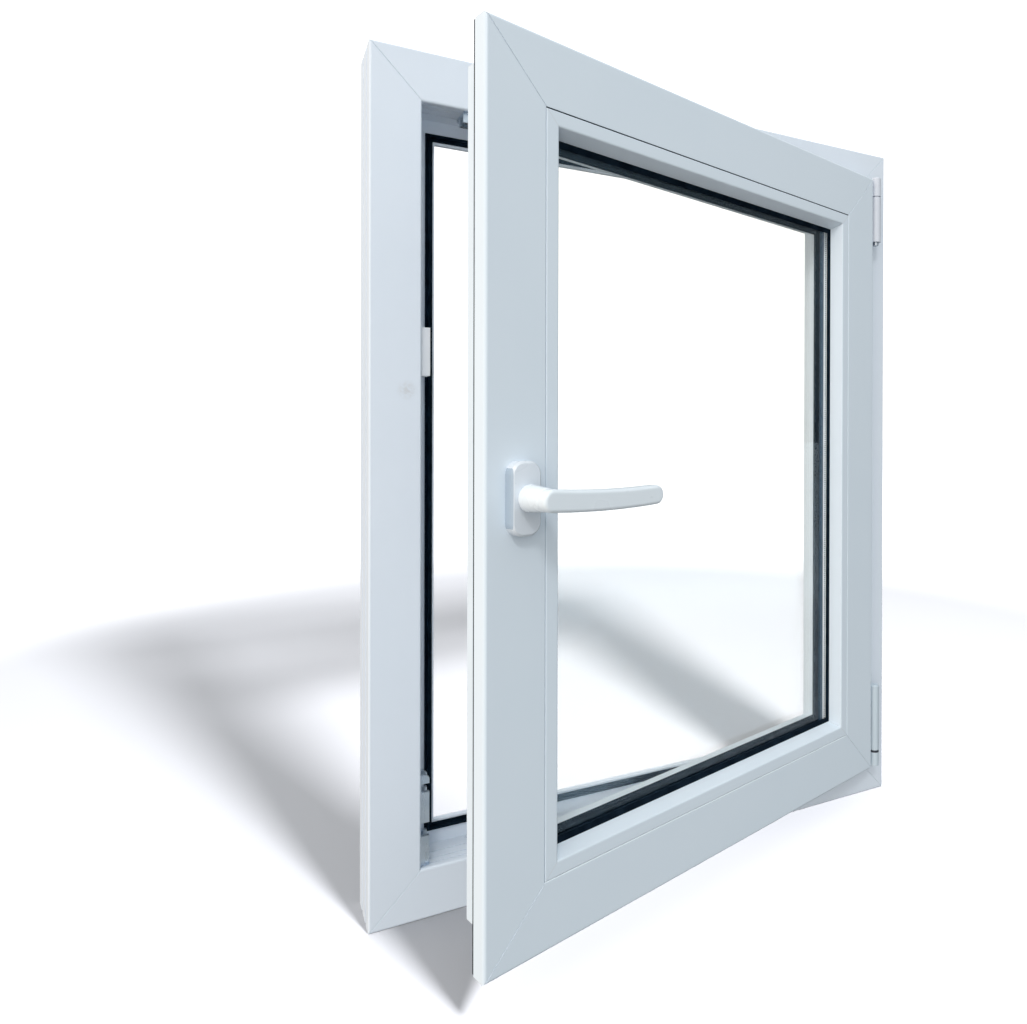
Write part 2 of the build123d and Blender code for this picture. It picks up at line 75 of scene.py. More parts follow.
def node(tree: Tree, kind: str, **settings: object) -> bpy.types.Node:
    """Adds one node and sets its own settings.

    Args:
        tree: the node tree that takes the node.
        kind: Blender's name of the node type.
        settings: attributes of the node.

    Returns:
        The new node.
    """
    made = tree.nodes.new(kind)
    for name, value in settings.items():
        setattr(made, name, value)
    return made


def blank_material(name: str) -> tuple[bpy.types.Material, bpy.types.Node]:
    """Makes a material that holds only its shader and output.

    Args:
        name: the material's name.

    Returns:
        The material and its shader node.
    """
    material = bpy.data.materials.new(name)
    material.use_nodes = True
    return material, material.node_tree.nodes["Principled BSDF"]


def closed_coordinates(tree: Tree, turned: bool) -> Socket:
    """Object coordinates as they are when the sash is closed.

    A piece of the sash is turned back by the swing about the hinge axis.

    Args:
        tree: the material's node tree.
        turned: whether the piece swings with the sash.

    Returns:
        The socket with the coordinates.
    """
    place = node(tree, "ShaderNodeTexCoord")
    if not turned:
        return place.outputs["Object"]
    mapping = node(tree, "ShaderNodeMapping")
    across, deep = HINGE_AXIS
    cosine, sine = math.cos(-SWING), math.sin(-SWING)
    mapping.inputs["Rotation"].default_value = (0.0, 0.0, -SWING)
    mapping.inputs["Location"].default_value = (across - cosine * across + sine * deep,
                                                deep - sine * across - cosine * deep, 0.0)
    tree.links.new(place.outputs["Object"], mapping.inputs["Vector"])
    return mapping.outputs["Vector"]


def placed_coordinates(tree: Tree, turned: bool, scale: Point = UNSTRETCHED) -> Socket:
    """Closed coordinates, stretched.

    Args:
        tree: the material's node tree.
        turned: whether the piece swings with the sash.
        scale: how much each axis is stretched.

    Returns:
        The socket with the coordinates.
    """
    stretch = node(tree, "ShaderNodeVectorMath", operation="MULTIPLY")
    stretch.inputs[1].default_value = scale
    tree.links.new(closed_coordinates(tree, turned), stretch.inputs[0])
    return stretch.outputs["Vector"]


def distance_from(tree: Tree, where: Socket, spot: Point) -> Socket:
    """The distance of the coordinates from one spot.

    Args:
        tree: the material's node tree.
        where: the coordinates.
        spot: the spot.

    Returns:
        The socket with the distance.
    """
    away = node(tree, "ShaderNodeVectorMath", operation="DISTANCE")
    away.inputs[1].default_value = spot
    tree.links.new(where, away.inputs[0])
    return away.outputs["Value"]


def math_node(tree: Tree, operation: str, *values: Socket | float) -> Socket:
    """One sum on sockets and plain numbers.

    Args:
        tree: the material's node tree.
        operation: Blender's name of the sum.
        values: a socket or a number for each input.

    Returns:
        The socket with the result.
    """
    made = node(tree, "ShaderNodeMath", operation=operation)
    for slot, value in zip(made.inputs, values):
        if isinstance(value, Socket):
            tree.links.new(value, slot)
        else:
            slot.default_value = value
    return made.outputs["Value"]


def axes(tree: Tree, where: Socket) -> tuple[Socket, Socket, Socket]:
    """Splits coordinates into the three axes.

    Args:
        tree: the material's node tree.
        where: the coordinates.

    Returns:
        The sockets with x, y and z.
    """
    made = node(tree, "ShaderNodeSeparateXYZ")
    tree.links.new(where, made.inputs["Vector"])
    return made.outputs["X"], made.outputs["Y"], made.outputs["Z"]


def window(tree: Tree, value: Socket, low: float, high: float) -> Socket:
    """One between two limits and nought outside them.

    Args:
        tree: the material's node tree.
        value: the value that is tried.
        low: the lower limit.
        high: the upper limit.

    Returns:
        The socket with one or nought.
    """
    return math_node(tree, "COMPARE", value, (low + high) / 2, (high - low) / 2)


def noise(tree: Tree, where: Socket, scale: float, detail: float) -> Socket:
    """A noise value over the given coordinates.

    Args:
        tree: the material's node tree.
        where: the coordinates.
        scale: waves in a unit of the coordinates.
        detail: how many finer octaves are added.

    Returns:
        The socket with the noise, about 0.5 on average.
    """
    made = node(tree, "ShaderNodeTexNoise")
    made.inputs["Scale"].default_value = scale
    made.inputs["Detail"].default_value = detail
    tree.links.new(where, made.inputs["Vector"])
    return made.outputs["Fac"]


def mapped(tree: Tree, value: Socket, before: Span, after: Span, ramp: Ramp = Ramp.SOFT) -> Socket:
    """Maps one range of a value onto another and holds it at both ends.

    Args:
        tree: the node tree.
        value: the value.
        before: the two ends of the value's range.
        after: the results at those ends.
        ramp: how the result moves between them.

    Returns:
        The socket with the mapped value.
    """
    made = node(tree, "ShaderNodeMapRange", interpolation_type=ramp.value)
    for name, limit in zip(("From Min", "From Max", "To Min", "To Max"), (*before, *after)):
        made.inputs[name].default_value = limit
    tree.links.new(value, made.inputs["Value"])
    return made.outputs["Result"]


def spread(tree: Tree, value: Socket, low: float = 0.0, high: float = 1.0) -> Socket:
    """Maps the middle range of a noise, 0.3 to 0.7, onto low to high.

    Args:
        tree: the material's node tree.
        value: the noise.
        low: the result at 0.3 and under.
        high: the result at 0.7 and over.

    Returns:
        The socket with the mapped value.
    """
    return mapped(tree, value, (0.3, 0.7), (low, high))


def blend_colours(tree: Tree, share: Socket, first: Colour | Socket, second: Colour | Socket) -> Socket:
    """Mixes two colours by a value.

    Args:
        tree: the material's node tree.
        share: how much of the second colour there is.
        first: the colour at 0, or a socket with it.
        second: the colour at 1, or a socket with it.

    Returns:
        The socket with the mixed colour.
    """
    made = node(tree, "ShaderNodeMix", data_type="RGBA")
    tree.links.new(share, made.inputs[0])
    for colour, slot in ((first, made.inputs[6]), (second, made.inputs[7])):
        if isinstance(colour, Socket):
            tree.links.new(colour, slot)
        else:
            slot.default_value = (*colour, 1.0)
    return made.outputs[2]


def bump(tree: Tree, height: Socket, strength: float, depth: float) -> Socket:
    """Turns a height into a surface normal.

    Args:
        tree: the material's node tree.
        height: the height value.
        strength: how much of the effect is used.
        depth: the height of a value of one.

    Returns:
        The socket with the normal.
    """
    made = node(tree, "ShaderNodeBump")
    made.inputs["Strength"].default_value = strength
    made.inputs["Distance"].default_value = depth
    tree.links.new(height, made.inputs["Height"])
    return made.outputs["Normal"]


def on_mitre(tree: Tree, where: Socket, reach: float) -> Socket:
    """One on the 45-degree corner joints of the frame and of the sash, nought elsewhere.

    On a joint the inset from the side equals the inset from the top or bottom, so the distance
    from the middle along x less that along z is half the width less half the height.

    Args:
        tree: the material's node tree.
        where: closed coordinates.
        reach: how far that difference may be off on the joint.

    Returns:
        The socket with one or nought.
    """
    x, _, z = axes(tree, where)
    beside = math_node(tree, "ABSOLUTE", x)
    above = math_node(tree, "ABSOLUTE", math_node(tree, "SUBTRACT", z, FRAME_HEIGHT / 2))
    difference = math_node(tree, "SUBTRACT", beside, above)
    return math_node(tree, "COMPARE", difference, (FRAME_WIDTH - FRAME_HEIGHT) / 2, reach)


@dataclass(frozen=True)
class ProfileFinish:
    """Extruded white plastic: satin, with faint drawing lines along it and pale lines on its mitres.

    A seam between two heights, in front of seam_start, and a smudge around one spot can be added. The
    seam's dark default colour is painted shade along a joint; a pale colour given in its place is a
    painted highlight.
    """

    name: str
    grain: Grain
    turned: bool
    colour: Colour
    shade: Colour
    groove: Colour = (0.76, 0.83, 0.90)
    groove_reach: float = 0.0010
    seam: Span | None = None
    seam_start: float = ROOM_FACE - 0.010
    # dark painted shade along the seam by default
    seam_colour: Colour = (0.03, 0.06, 0.10)
    smudge: Point | None = None
    smudge_colour: Colour = (0.66, 0.69, 0.73)
    smudge_fade: Span = (0.002, 0.012)
    smudge_strength: float = 0.8
    smudge_scale: float = 260.0
    smudge_least: float = 0.1
    cloud_scale: float = 9.0
    roughness: Span = (0.30, 0.40)
    lines_across: float = 700.0
    lines_along: float = 3.0
    line_strength: float = 0.12
    line_depth: float = 0.00004
    ior: float = 1.50

    def build(self) -> bpy.types.Material:
        """Makes the material.

        Returns:
            The finished material.
        """
        material, shader = blank_material(self.name)
        tree = material.node_tree
        stretch = {
            Grain.UPRIGHT: (self.lines_across, self.lines_across, self.lines_along),
            Grain.LEVEL: (self.lines_along, self.lines_across, self.lines_across),
        }[self.grain]
        lines = noise(tree, placed_coordinates(tree, self.turned, stretch), 1.0, 2.0)
        clouds = noise(tree, placed_coordinates(tree, self.turned), self.cloud_scale, 3.0)
        tone = blend_colours(tree, spread(tree, clouds), self.colour, self.shade)
        closed = closed_coordinates(tree, self.turned)
        tone = blend_colours(tree, on_mitre(tree, closed, self.groove_reach), tone, self.groove)
        if self.seam:
            _, y, z = axes(tree, closed)
            ahead = math_node(tree, "LESS_THAN", y, self.seam_start)
            share = math_node(tree, "MULTIPLY", ahead, window(tree, z, *self.seam))
            tone = blend_colours(tree, share, tone, self.seam_colour)
        if self.smudge:
            tone = blend_colours(tree, self.smudge_share(tree, closed), tone, self.smudge_colour)
        tree.links.new(tone, shader.inputs["Base Color"])
        tree.links.new(spread(tree, lines, *self.roughness), shader.inputs["Roughness"])
        tree.links.new(bump(tree, lines, self.line_strength, self.line_depth), shader.inputs["Normal"])
        shader.inputs["IOR"].default_value = self.ior
        return material

    def smudge_share(self, tree: Tree, closed: Socket) -> Socket:
        """A small cloudy mark around one spot.

        Args:
            tree: the material's node tree.
            closed: closed coordinates.

        Returns:
            The socket with the mark's share.
        """
        away = distance_from(tree, closed, self.smudge)
        fade = mapped(tree, away, self.smudge_fade, (self.smudge_strength, 0.0))
        clouds = noise(tree, closed, self.smudge_scale, 3.0)
        return math_node(tree, "MULTIPLY", fade, spread(tree, clouds, self.smudge_least))


@dataclass(frozen=True)
class MouldedFinish:
    """Moulded or powder-coated white: smooth with a very fine orange peel.

    The part below one x and between two heights can be painted a darker tone of its own: painted shade.
    """

    name: str
    colour: Colour
    shade: Colour
    roughness: Span
    turned: bool = True
    cloud_scale: float = 30.0
    peel_scale: float = 900.0
    peel_strength: float = 0.10
    peel_depth: float = 0.0001
    # painted shade: a darker tone on one part, standing in for shade that falls there
    painted_shade_colour: Colour | None = None
    painted_shade_edge: float = 0.0
    painted_shade_levels: Span = (0.0, 0.0)

    def build(self) -> bpy.types.Material:
        """Makes the material.

        Returns:
            The finished material.
        """
        material, shader = blank_material(self.name)
        tree = material.node_tree
        where = placed_coordinates(tree, self.turned)
        peel = noise(tree, where, self.peel_scale, 2.0)
        clouds = noise(tree, where, self.cloud_scale, 2.0)
        tone = blend_colours(tree, spread(tree, clouds), self.colour, self.shade)
        if self.painted_shade_colour:
            x, _, z = axes(tree, where)
            beside = math_node(tree, "LESS_THAN", x, self.painted_shade_edge)
            share = math_node(tree, "MULTIPLY", beside, window(tree, z, *self.painted_shade_levels))
            tone = blend_colours(tree, share, tone, self.painted_shade_colour)
        tree.links.new(tone, shader.inputs["Base Color"])
        tree.links.new(spread(tree, clouds, *self.roughness), shader.inputs["Roughness"])
        tree.links.new(bump(tree, peel, self.peel_strength, self.peel_depth), shader.inputs["Normal"])
        return material


@dataclass(frozen=True)
class RubberFinish:
    """Black rubber seal: matt, with a slight bloom."""

    name: str
    turned: bool
    colour: Colour = (0.003, 0.007, 0.013)
    bloom: Colour = (0.009, 0.018, 0.030)
    bloom_scale: float = 60.0
    roughness: Span = (0.45, 0.62)
    grain_scale: float = 1800.0
    grain_strength: float = 0.25
    grain_depth: float = 0.0001
    specular: float = 0.01

    def build(self) -> bpy.types.Material:
        """Makes the material.

        Returns:
            The finished material.
        """
        material, shader = blank_material(self.name)
        tree = material.node_tree
        where = placed_coordinates(tree, self.turned)
        grains = noise(tree, where, self.grain_scale, 2.0)
        patches = noise(tree, where, self.bloom_scale, 4.0)
        tone = blend_colours(tree, spread(tree, patches), self.colour, self.bloom)
        tree.links.new(tone, shader.inputs["Base Color"])
        tree.links.new(spread(tree, patches, *self.roughness), shader.inputs["Roughness"])
        tree.links.new(bump(tree, grains, self.grain_strength, self.grain_depth), shader.inputs["Normal"])
        shader.inputs["Specular IOR Level"].default_value = self.specular
        return material


@dataclass(frozen=True)
class GlassFinish:
    """Clear float glass with the slightest unevenness."""

    name: str
    colour: Colour = (0.975, 0.990, 0.985)
    wave_scale: float = 6.0
    roughness: Span = (0.0, 0.012)
    ior: float = 1.45
    specular: float = 0.15
    tint: Colour = (0.45, 0.75, 1.0)

    def build(self) -> bpy.types.Material:
        """Makes the material.

        Returns:
            The finished material.
        """
        material, shader = blank_material(self.name)
        tree = material.node_tree
        waves = noise(tree, placed_coordinates(tree, True), self.wave_scale, 1.0)
        shader.inputs["Base Color"].default_value = (*self.colour, 1.0)
        shader.inputs["Transmission Weight"].default_value = 1.0
        shader.inputs["IOR"].default_value = self.ior
        shader.inputs["Specular IOR Level"].default_value = self.specular
        shader.inputs["Specular Tint"].default_value = (*self.tint, 1.0)
        tree.links.new(spread(tree, waves, *self.roughness), shader.inputs["Roughness"])
        return material


@dataclass(frozen=True)
class SpacerFinish:
    """Perforated aluminium between the panes: bright uprights, dark level bars, a row of small holes.

    The uprights lie further than upright_side from the middle. The one aluminium bar is painted in lit and
    shaded tones: bright on the uprights as far as bright_depth behind the frame's room face, a painted
    highlight, and dark behind that and on the level bars, painted shade.
    """

    name: str
    # painted light and shade: bright fronts of the uprights, dark backs of the uprights and dark level bars
    upright: Colour = (0.93, 0.97, 0.99)
    upright_back_painted_shade: Colour = (0.03, 0.065, 0.11)
    upright_hole: Colour = (0.10, 0.15, 0.18)
    level: Colour = (0.010, 0.022, 0.038)
    level_hole: Colour = (0.90, 0.96, 1.00)
    upright_side: float = 0.2283
    bright_depth: float = 0.0107
    pitch: float = 0.00275
    hole: float = 0.0015
    upright_row: float = 0.0075
    level_row: float = 0.0108
    stretch: Point = (300.0, 300.0, 10.0)
    roughness: Span = (0.40, 0.60)
    specular: float = 0.03

    def build(self) -> bpy.types.Material:
        """Makes the material.

        Returns:
            The finished material.
        """
        material, shader = blank_material(self.name)
        tree = material.node_tree
        x, y, z = axes(tree, closed_coordinates(tree, True))
        standing = math_node(tree, "GREATER_THAN", math_node(tree, "ABSOLUTE", x), self.upright_side)
        behind = math_node(tree, "GREATER_THAN", y, ROOM_FACE + self.bright_depth)
        upright = blend_colours(tree, self.holes(tree, z, y, self.upright_row), self.upright, self.upright_hole)
        upright = blend_colours(tree, behind, upright, self.upright_back_painted_shade)
        level = blend_colours(tree, self.holes(tree, x, y, self.level_row), self.level, self.level_hole)
        tree.links.new(blend_colours(tree, standing, level, upright), shader.inputs["Base Color"])
        drawn = noise(tree, placed_coordinates(tree, True, self.stretch), 1.0, 2.0)
        tree.links.new(spread(tree, drawn, *self.roughness), shader.inputs["Roughness"])
        shader.inputs["Specular IOR Level"].default_value = self.specular
        return material

    def holes(self, tree: Tree, along: Socket, deep: Socket, row: float) -> Socket:
        """One in each small hole of the row.

        Args:
            tree: the material's node tree.
            along: the coordinate along the bar.
            deep: the coordinate through the window.
            row: depth of the row behind the frame's room face.

        Returns:
            The socket with one or nought.
        """
        place = math_node(tree, "PINGPONG", along, self.pitch / 2)
        inside = math_node(tree, "LESS_THAN", place, self.hole / 2)
        near = window(tree, deep, ROOM_FACE + row - self.hole / 2, ROOM_FACE + row + self.hole / 2)
        return math_node(tree, "MULTIPLY", inside, near)


@dataclass(frozen=True)
class MetalFinish:
    """Bright zinc plate, drawn in one direction."""

    name: str
    turned: bool
    colour: Colour = (0.56, 0.60, 0.65)
    stain: Colour = (0.49, 0.53, 0.58)
    stain_scale: float = 45.0
    roughness: Span = (0.22, 0.42)
    stretch: Point = (400.0, 400.0, 12.0)
    line_strength: float = 0.15
    line_depth: float = 0.0001

    def build(self) -> bpy.types.Material:
        """Makes the material.

        Returns:
            The finished material.
        """
        material, shader = blank_material(self.name)
        tree = material.node_tree
        drawn = noise(tree, placed_coordinates(tree, self.turned, self.stretch), 1.0, 3.0)
        patches = noise(tree, placed_coordinates(tree, self.turned), self.stain_scale, 4.0)
        tone = blend_colours(tree, spread(tree, patches), self.colour, self.stain)
        tree.links.new(tone, shader.inputs["Base Color"])
        tree.links.new(spread(tree, drawn, *self.roughness), shader.inputs["Roughness"])
        tree.links.new(bump(tree, drawn, self.line_strength, self.line_depth), shader.inputs["Normal"])
        shader.inputs["Metallic"].default_value = 1.0
        return material


def dress(finish: bpy.types.Material, *names: str) -> None:
    """Gives CAD nodes their finish.

    Args:
        finish: the material.
        names: the nodes.
    """
    for name in names:
        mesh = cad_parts[name].data
        mesh.materials.clear()
        mesh.materials.append(finish)
        LOG.info("dressed %s in %s", name, finish.name)


@dataclass
class FixedFrame:
    """The four fixed members, their seal and the strikers."""

    level_members: tuple[str, ...] = ("frame_head", "frame_sill")
    zinc_strikers: tuple[str, ...] = ("lower_keep", "corner_keep", "head_keep")
    white: Colour = (0.792, 0.858, 0.945)
    white_cloud: Colour = (0.776, 0.845, 0.935)
    smudge: Point = (-0.3128, ROOM_FACE, 0.549)
    zinc: Colour = (0.72, 0.79, 0.86)
    zinc_stain: Colour = (0.58, 0.66, 0.74)
    moulded: Colour = (0.86, 0.88, 0.92)
    moulded_cloud: Colour = (0.83, 0.86, 0.9)
    moulded_roughness: Span = (0.3, 0.4)

    def dress(self) -> None:
        """Gives each node of the fixed frame its finish."""
        tones = (self.white, self.white_cloud)
        marked = ProfileFinish("left_jamb_white", Grain.UPRIGHT, False, *tones, smudge=self.smudge)
        dress(marked.build(), "frame_left_jamb")
        dress(ProfileFinish("frame_upright", Grain.UPRIGHT, False, *tones).build(), "frame_right_jamb")
        dress(ProfileFinish("frame_level", Grain.LEVEL, False, *tones).build(), *self.level_members)
        dress(RubberFinish("frame_rubber", False).build(), "frame_seal")
        dress(MetalFinish("striker_zinc", False, self.zinc, self.zinc_stain).build(), *self.zinc_strikers)
        moulded = MouldedFinish("striker_white", self.moulded, self.moulded_cloud, self.moulded_roughness, False)
        dress(moulded.build(), "upper_keep")


@dataclass
class OpenSash:
    """The four swinging members, the beads and the seals.

    The joint of profile and bead lies between two heights above the sash's lower edge, and as far
    below its upper edge. It is painted dark at the top, painted shade where the joint lies in shade, and
    pale at the bottom, a painted highlight where it catches the light from above.
    """

    uprights: tuple[str, ...] = ("sash_left_stile", "sash_right_stile", "left_bead", "right_bead")
    tops: tuple[str, ...] = ("sash_top_rail", "top_bead")
    bottoms: tuple[str, ...] = ("sash_bottom_rail", "bottom_bead")
    seals: tuple[str, ...] = ("sash_seal", "bead_seal", "outer_glass_seal")
    white: Colour = (0.795, 0.880, 0.962)
    white_cloud: Colour = (0.780, 0.868, 0.952)
    joint: Span = (SASH_INSET + 0.0618, SASH_INSET + 0.0630)
    # painted highlight: the pale lower joint, where it catches the light from above
    joint_painted_highlight: Colour = (0.88, 0.95, 0.99)

    def dress(self) -> None:
        """Gives each node of the sash its finish."""
        tones = (self.white, self.white_cloud)
        low, high = self.joint
        top_joint = (FRAME_HEIGHT - high, FRAME_HEIGHT - low)
        dress(ProfileFinish("sash_upright", Grain.UPRIGHT, True, *tones).build(), *self.uprights)
        # the top seam is painted shade along the joint
        dress(ProfileFinish("sash_top", Grain.LEVEL, True, *tones, seam=top_joint).build(), *self.tops)
        # the bottom seam is a pale painted highlight
        bottom = ProfileFinish("sash_bottom", Grain.LEVEL, True, *tones, seam=self.joint,
                               seam_colour=self.joint_painted_highlight)
        dress(bottom.build(), *self.bottoms)
        dress(RubberFinish("sash_rubber", True).build(), *self.seals)


@dataclass
class GlassUnit:
    """Two panes, which throw no shadow, and the bar between them."""

    panes: tuple[str, ...] = ("inner_pane", "outer_pane")

    def dress(self) -> None:
        """Gives the glass and the spacer their finishes."""
        dress(GlassFinish("clear_float").build(), *self.panes)
        for name in self.panes:
            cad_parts[name].visible_shadow = False
        dress(SpacerFinish("spacer_painted_light_and_shade").build(), "spacer_bar")


@dataclass
class Fittings:
    """The handle, the hinges and the locking gear.

    The rosette's left side wall is painted a deeper tone, painted shade, as far as a set width from its
    edge and over its straight part, and the lower hinge has a dark line of painted shade where its two caps
    meet.
    """

    metal: tuple[str, ...] = (
        "stay_arm", "stay_bearing", "stay_pin", "corner_bearing", "corner_hinge",
        "side_gear", "top_gear", "top_corner_drive", "bottom_corner_drive", "locking_cams",
    )
    upper_caps: tuple[str, ...] = ("stay_bearing_cap", "stay_arm_cap")
    lower_caps: tuple[str, ...] = ("corner_bearing_cap", "corner_hinge_cap")
    lever: Colour = (0.865, 0.930, 0.990)
    lever_cloud: Colour = (0.850, 0.920, 0.980)
    rosette: Colour = (0.79, 0.84, 0.905)
    rosette_cloud: Colour = (0.775, 0.83, 0.895)
    # painted shade on the rosette's left side wall
    rosette_painted_shade: Colour = (0.44, 0.53, 0.63)
    handle_roughness: Span = (0.24, 0.34)
    rosette_half: float = 0.01525
    rosette_straight: float = 0.026
    painted_shade_width: float = 0.0016
    rim_width: float = 0.0007
    rim_segments: int = 3
    rim_angle: float = math.radians(30.0)
    upper_cap: Colour = (0.70, 0.735, 0.81)
    upper_cap_cloud: Colour = (0.68, 0.72, 0.795)
    # painted shade: the lower caps are given a darker tone than the upper caps
    lower_cap: Colour = (0.60, 0.69, 0.76)
    lower_cap_cloud: Colour = (0.585, 0.675, 0.745)
    cap_roughness: Span = (0.30, 0.42)
    # painted shade: the dark line in the gap where the lower hinge's two caps meet
    gap_painted_shade: Colour = (0.06, 0.07, 0.09)
    gap_levels: Span = (0.0635, 0.0668)
    gap_edge: float = 1.0

    def round_edges(self, name: str) -> None:
        """Rounds the bevelled rim of a moulded cover a little more.

        Args:
            name: the node.
        """
        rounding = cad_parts[name].modifiers.new("soft_rim", "BEVEL")
        rounding.width = self.rim_width
        rounding.segments = self.rim_segments
        rounding.limit_method = "ANGLE"
        rounding.angle_limit = self.rim_angle

    def dress(self) -> None:
        """Gives each fitting its finish."""
        lever = MouldedFinish("lever_coat", self.lever, self.lever_cloud, self.handle_roughness)
        dress(lever.build(), "handle_lever")
        cover = MouldedFinish(
            "rosette_coat_painted_shade", self.rosette, self.rosette_cloud, self.handle_roughness,
            painted_shade_colour=self.rosette_painted_shade, painted_shade_edge=HANDLE_X - self.rosette_half + self.painted_shade_width,
            painted_shade_levels=(HANDLE_HEIGHT - self.rosette_straight, HANDLE_HEIGHT + self.rosette_straight))
        dress(cover.build(), "handle_rosette")
        self.round_edges("handle_rosette")
        upper = MouldedFinish("upper_cap_white", self.upper_cap, self.upper_cap_cloud, self.cap_roughness)
        dress(upper.build(), *self.upper_caps)
        lower = MouldedFinish("lower_cap_painted_shade", self.lower_cap, self.lower_cap_cloud, self.cap_roughness,
                              painted_shade_colour=self.gap_painted_shade, painted_shade_edge=self.gap_edge, painted_shade_levels=self.gap_levels)
        dress(lower.build(), *self.lower_caps)
        dress(MetalFinish("gear_zinc", True).build(), *self.metal)


@dataclass(frozen=True)
class ScrewHead:
    """Where one screw head sits on its plate, which way it faces and how far its cross is turned."""

    place: Point
    facing: Point
    turn: float


@dataclass
class Screws:
    """Small cross-recessed screws in the strikers and in the locking gear.

    Each cross is turned by a first angle and by turn_rate radians for each metre along its row.
    """

    radius: float = 0.0031
    rise: float = 0.0008
    sunk: float = 0.0005
    arm_length: float = 0.0020
    arm_half: float = 0.00042
    recess: float = 0.0012
    soft: float = 0.00025
    rings: int = 14
    spokes: int = 48
    colour: Colour = (0.66, 0.70, 0.74)
    stain: Colour = (0.52, 0.56, 0.61)
    turn_rate: float = 9.0
    striker_depth: float = ROOM_FACE + 0.0305
    striker_level: float = 0.0535
    striker_places: tuple[float, ...] = (0.5725, 0.6080, 0.1040, 0.1395)
    striker_turn: float = 0.4
    head_striker_places: tuple[float, ...] = (-0.246, -0.214)
    head_striker_turn: float = 0.7
    gear_depth: float = ROOM_FACE + 0.013
    gear_inset: float = 0.0197
    side_gear_places: tuple[float, ...] = (0.150, 0.300, 0.420, 0.480, 0.560, 0.740)
    side_gear_turn: float = 0.3
    top_gear_places: tuple[float, ...] = (-0.160, -0.020, 0.120, 0.245)
    top_gear_turn: float = 0.5

    def soft_step(self, distance: np.ndarray, limit: float) -> np.ndarray:
        """One within a limit either side of nought, and an even fall to nought over the soft width.

        Args:
            distance: the distances.
            limit: where the value is one half.

        Returns:
            The values, from nought to one.
        """
        return np.clip((limit - np.abs(distance)) / self.soft + 0.5, 0.0, 1.0)

    def surface(self, head: ScrewHead) -> np.ndarray:
        """The points of one head, from the middle of its top, over the rim, to the middle of its underside.

        The top is a shallow dome, rise * (1 - (r / radius)^2), less a cross: the deeper of two arms, each the
        product of two soft steps, one along the arm and one across it.

        Args:
            head: the screw's place.

        Returns:
            The points, one row each.
        """
        away = np.linspace(0.0, 1.0, self.rings + 1)[1:, None] * self.radius
        round_it = np.linspace(0.0, 2.0 * np.pi, self.spokes, endpoint=False)[None, :]
        x, y = away * np.cos(round_it), away * np.sin(round_it)
        cross = np.maximum(self.soft_step(x, self.arm_length) * self.soft_step(y, self.arm_half),
                           self.soft_step(y, self.arm_length) * self.soft_step(x, self.arm_half))
        height = self.rise * (1.0 - (away / self.radius) ** 2) - self.recess * cross
        top = np.stack([x, y, height], axis=-1).reshape(-1, 3)
        skirt = top[-self.spokes:] * (1.0, 1.0, 0.0) - (0.0, 0.0, self.sunk + self.recess)
        middle = np.array([[0.0, 0.0, self.rise - self.recess]])
        under = np.array([[0.0, 0.0, -self.sunk - self.recess]])
        local = np.concatenate([middle, top, skirt, under])
        basis = Vector(head.facing).to_track_quat("Z", "Y").to_matrix() @ Matrix.Rotation(head.turn, 3, "Z")
        return local @ np.array(basis).T + np.array(head.place)

    def faces(self, heads: int) -> list[list[int]]:
        """The faces of a group of heads: a fan, rings of quads and a fan underneath, for each head.

        Args:
            heads: how many heads the mesh holds.

        Returns:
            The corner numbers of each face.
        """
        place = np.arange(self.spokes)
        after = (place + 1) % self.spokes
        fan = np.stack([np.zeros_like(place), 1 + place, 1 + after], axis=-1)
        rows = 1 + np.arange(self.rings)[:, None] * self.spokes
        quads = np.stack([rows + place, rows + self.spokes + place, rows + self.spokes + after, rows + after],
                         axis=-1).reshape(-1, 4)
        last = 1 + self.rings * self.spokes
        closing = np.stack([last + place, np.full_like(place, last + self.spokes), last + after], axis=-1)
        first_points = np.arange(heads)[:, None, None] * (last + self.spokes + 1)
        return [face for group in (fan, quads, closing)
                for face in (group + first_points).reshape(-1, group.shape[-1]).tolist()]

    def piece(self, name: str, heads: list[ScrewHead], turned: bool) -> None:
        """One object that holds a group of screw heads.

        Args:
            name: the object's name.
            heads: the screws.
            turned: whether they swing with the sash.
        """
        points = np.concatenate([self.surface(head) for head in heads])
        if turned:
            across, deep = HINGE_AXIS
            shift = np.array([across, deep, 0.0])
            spin = np.array(Matrix.Rotation(SWING, 3, "Z"))
            points = (points - shift) @ spin.T + shift
        mesh = bpy.data.meshes.new(name)
        mesh.from_pydata(points, [], self.faces(len(heads)))
        mesh.validate()
        mesh.materials.append(MetalFinish(name + "_zinc", turned, self.colour, self.stain).build())
        screws = bpy.data.objects.new(name, mesh)
        bpy.context.scene.collection.objects.link(screws)
        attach(screws, "root")
        LOG.info("made %s with %d heads", name, len(heads))

    def turned_by(self, first: float, along: float) -> float:
        """The turn of the cross at one place along a row that starts with the given turn."""
        return first + self.turn_rate * along

    def build(self) -> None:
        """Makes the screws of the strikers and those of the locking gear."""
        left = -FRAME_WIDTH / 2 + self.striker_level
        top = FRAME_HEIGHT - self.striker_level
        strikers = [
            ScrewHead((left, self.striker_depth, z), (1.0, 0.0, 0.0), self.turned_by(self.striker_turn, z))
            for z in self.striker_places]
        strikers += [
            ScrewHead((x, self.striker_depth, top), (0.0, 0.0, -1.0), self.turned_by(self.head_striker_turn, x))
            for x in self.head_striker_places]
        self.piece("striker_screws", strikers, False)
        side = -(FRAME_WIDTH / 2 - SASH_INSET) + self.gear_inset
        level = FRAME_HEIGHT - SASH_INSET - self.gear_inset
        gear = [
            ScrewHead((side, self.gear_depth, z), (-1.0, 0.0, 0.0), self.turned_by(self.side_gear_turn, z))
            for z in self.side_gear_places]
        gear += [
            ScrewHead((x, self.gear_depth, level), (0.0, 0.0, 1.0), self.turned_by(self.top_gear_turn, x))
            for x in self.top_gear_places]
        self.piece("gear_screws", gear, True)


